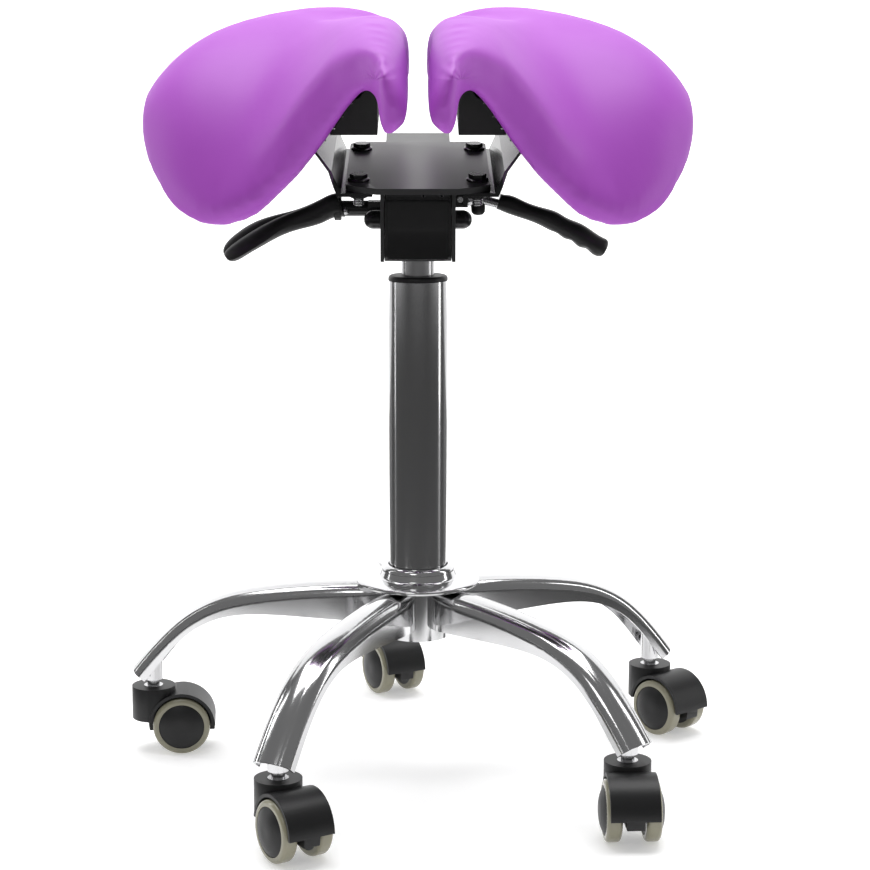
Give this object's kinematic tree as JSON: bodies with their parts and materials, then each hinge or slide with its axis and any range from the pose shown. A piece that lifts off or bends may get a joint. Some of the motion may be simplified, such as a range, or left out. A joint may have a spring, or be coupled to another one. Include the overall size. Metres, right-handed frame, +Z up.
{
  "type": "saddle stool",
  "caption": "Height-adjustable saddle stool with a split padded seat that tilts, two side levers, a gas lift and a chromed star base on twin-wheel casters.",
  "frame": {"origin": "on the floor, at the column's centre line", "axes": "+Z up; the stool faces -Y, so +X is towards the right of a person facing it"},
  "size_m": [0.5211, 0.5266, 0.6545],
  "materials": {
    "purple_cover": "smooth coated upholstery with a soft sheen",
    "black_pan": "satin moulded board",
    "black_steel": "gloss powder coat",
    "base_chrome": "polished plating",
    "bright_steel": "ground and bright",
    "black_plastic": "satin moulded nylon",
    "olive_tread": "glossy soft polyurethane"
  },
  "bodies": {
    "base": {"leg_1": "base_chrome", "leg_2": "base_chrome", "leg_3": "base_chrome", "leg_4": "base_chrome", "leg_5": "base_chrome", "caster_sockets": "base_chrome", "caster_stems": "bright_steel", "hub_barrel": "base_chrome", "hub_cap": "base_chrome", "column_tube": "base_chrome", "column_bush": "black_plastic"},
    "caster_1": {"caster_hood_1": "black_plastic", "caster_axle_1": "bright_steel"},
    "wheel_1a": {"wheel_core_1a": "black_plastic", "wheel_tread_1a": "olive_tread"},
    "wheel_1b": {"wheel_core_1b": "black_plastic", "wheel_tread_1b": "olive_tread"},
    "caster_2": {"caster_hood_2": "black_plastic", "caster_axle_2": "bright_steel"},
    "wheel_2a": {"wheel_core_2a": "black_plastic", "wheel_tread_2a": "olive_tread"},
    "wheel_2b": {"wheel_core_2b": "black_plastic", "wheel_tread_2b": "olive_tread"},
    "caster_3": {"caster_hood_3": "black_plastic", "caster_axle_3": "bright_steel"},
    "wheel_3a": {"wheel_core_3a": "black_plastic", "wheel_tread_3a": "olive_tread"},
    "wheel_3b": {"wheel_core_3b": "black_plastic", "wheel_tread_3b": "olive_tread"},
    "caster_4": {"caster_hood_4": "black_plastic", "caster_axle_4": "bright_steel"},
    "wheel_4a": {"wheel_core_4a": "black_plastic", "wheel_tread_4a": "olive_tread"},
    "wheel_4b": {"wheel_core_4b": "black_plastic", "wheel_tread_4b": "olive_tread"},
    "caster_5": {"caster_hood_5": "black_plastic", "caster_axle_5": "bright_steel"},
    "wheel_5a": {"wheel_core_5a": "black_plastic", "wheel_tread_5a": "olive_tread"},
    "wheel_5b": {"wheel_core_5b": "black_plastic", "wheel_tread_5b": "olive_tread"},
    "rod": {"piston_rod": "bright_steel", "rod_fittings": "bright_steel"},
    "lift": {"gas_cylinder": "bright_steel", "mechanism_housing": "black_steel", "pivot_bolts": "black_steel"},
    "release_pin": {"release_pin": "bright_steel"},
    "height_lever": {"height_lever_rod": "black_steel", "height_lever_paddle": "black_plastic"},
    "tilt_lever": {"tilt_lever_rod": "bright_steel", "tilt_lever_grip": "black_plastic"},
    "tilt_frame": {"top_plate": "black_steel"},
    "seat_left": {"seat_bracket_left": "black_steel", "bracket_bolts_left": "black_steel", "seat_pan_left": "black_pan", "cushion_left": "purple_cover"},
    "seat_right": {"seat_bracket_right": "black_steel", "bracket_bolts_right": "black_steel", "seat_pan_right": "black_pan", "cushion_right": "purple_cover"}
  },
  "joints": [
    {"name": "caster_swivel_1", "type": "hinge", "parent": "base", "child": "caster_1", "pos_m": [0.21441, 0.10784, 0.05], "axis": [0, 0, 1], "continuous": true},
    {"name": "wheel_spin_1a", "type": "hinge", "parent": "caster_1", "child": "wheel_1a", "pos_m": [0.23064, 0.08883, 0.02525], "axis": [0.7604, 0.6494, 0], "continuous": true},
    {"name": "wheel_spin_1b", "type": "hinge", "parent": "caster_1", "child": "wheel_1b", "pos_m": [0.23064, 0.08883, 0.02525], "axis": [0.7604, 0.6494, 0], "continuous": true},
    {"name": "caster_swivel_2", "type": "hinge", "parent": "base", "child": "caster_2", "pos_m": [-0.0363, 0.23724, 0.05], "axis": [0, 0, 1], "continuous": true},
    {"name": "wheel_spin_2a", "type": "hinge", "parent": "caster_2", "child": "wheel_2a", "pos_m": [-0.02441, 0.21525, 0.02525], "axis": [0.8796, 0.4756, 0], "continuous": true},
    {"name": "wheel_spin_2b", "type": "hinge", "parent": "caster_2", "child": "wheel_2b", "pos_m": [-0.02441, 0.21525, 0.02525], "axis": [0.8796, 0.4756, 0], "continuous": true},
    {"name": "caster_swivel_3", "type": "hinge", "parent": "base", "child": "caster_3", "pos_m": [-0.23684, 0.03879, 0.05], "axis": [0, 0, 1], "continuous": true},
    {"name": "wheel_spin_3a", "type": "hinge", "parent": "caster_3", "child": "wheel_3a", "pos_m": [-0.21191, 0.04053, 0.02525], "axis": [-0.0698, 0.9976, 0], "continuous": true},
    {"name": "wheel_spin_3b", "type": "hinge", "parent": "caster_3", "child": "wheel_3b", "pos_m": [-0.21191, 0.04053, 0.02525], "axis": [-0.0698, 0.9976, 0], "continuous": true},
    {"name": "caster_swivel_4", "type": "hinge", "parent": "base", "child": "caster_4", "pos_m": [-0.11008, -0.21327, 0.05], "axis": [0, 0, 1], "continuous": true},
    {"name": "wheel_spin_4a", "type": "hinge", "parent": "caster_4", "child": "wheel_4a", "pos_m": [-0.09683, -0.23447, 0.02525], "axis": [0.848, 0.5299, 0], "continuous": true},
    {"name": "wheel_spin_4b", "type": "hinge", "parent": "caster_4", "child": "wheel_4b", "pos_m": [-0.09683, -0.23447, 0.02525], "axis": [0.848, 0.5299, 0], "continuous": true},
    {"name": "caster_swivel_5", "type": "hinge", "parent": "base", "child": "caster_5", "pos_m": [0.16881, -0.17059, 0.05], "axis": [0, 0, 1], "continuous": true},
    {"name": "wheel_spin_5a", "type": "hinge", "parent": "caster_5", "child": "wheel_5a", "pos_m": [0.16999, -0.19556, 0.02525], "axis": [0.9989, 0.0471, 0], "continuous": true},
    {"name": "wheel_spin_5b", "type": "hinge", "parent": "caster_5", "child": "wheel_5b", "pos_m": [0.16999, -0.19556, 0.02525], "axis": [0.9989, 0.0471, 0], "continuous": true},
    {"name": "column_swivel", "type": "hinge", "parent": "base", "child": "rod", "pos_m": [0, 0, 0.13], "axis": [0, 0, 1], "continuous": true},
    {"name": "height_slide", "type": "slide", "parent": "rod", "child": "lift", "axis": [0, 0, 1], "range_m": [0, 0.185]},
    {"name": "height_lever_pull", "type": "hinge", "parent": "lift", "child": "height_lever", "pos_m": [-0.036, 0.024, 0.486], "axis": [0, 1, 0], "range_deg": [0, 5.5], "stiffness_Nm_per_rad": 2, "springref_deg": -17.19},
    {"name": "release_pin_press", "type": "slide", "parent": "lift", "child": "release_pin", "axis": [0, 0, -1], "range_m": [0, 0.0035]},
    {"name": "tilt_lever_pull", "type": "hinge", "parent": "lift", "child": "tilt_lever", "pos_m": [0.036, 0.024, 0.494], "axis": [0, -1, 0], "range_deg": [0, 8]},
    {"name": "seat_tilt", "type": "hinge", "parent": "lift", "child": "tilt_frame", "pos_m": [0, 0, 0.4785], "axis": [1, 0, 0], "range_deg": [-14, 0]},
    {"name": "seat_left_slide", "type": "slide", "parent": "tilt_frame", "child": "seat_left", "axis": [-1, 0, 0], "range_m": [-0.003, 0.003]},
    {"name": "seat_right_slide", "type": "slide", "parent": "tilt_frame", "child": "seat_right", "axis": [1, 0, 0], "range_m": [-0.003, 0.003]}
  ],
  "couplings": [
    {"joint": "release_pin_press", "follows": "height_lever_pull", "m_per_rad": 0.036}
  ]
}
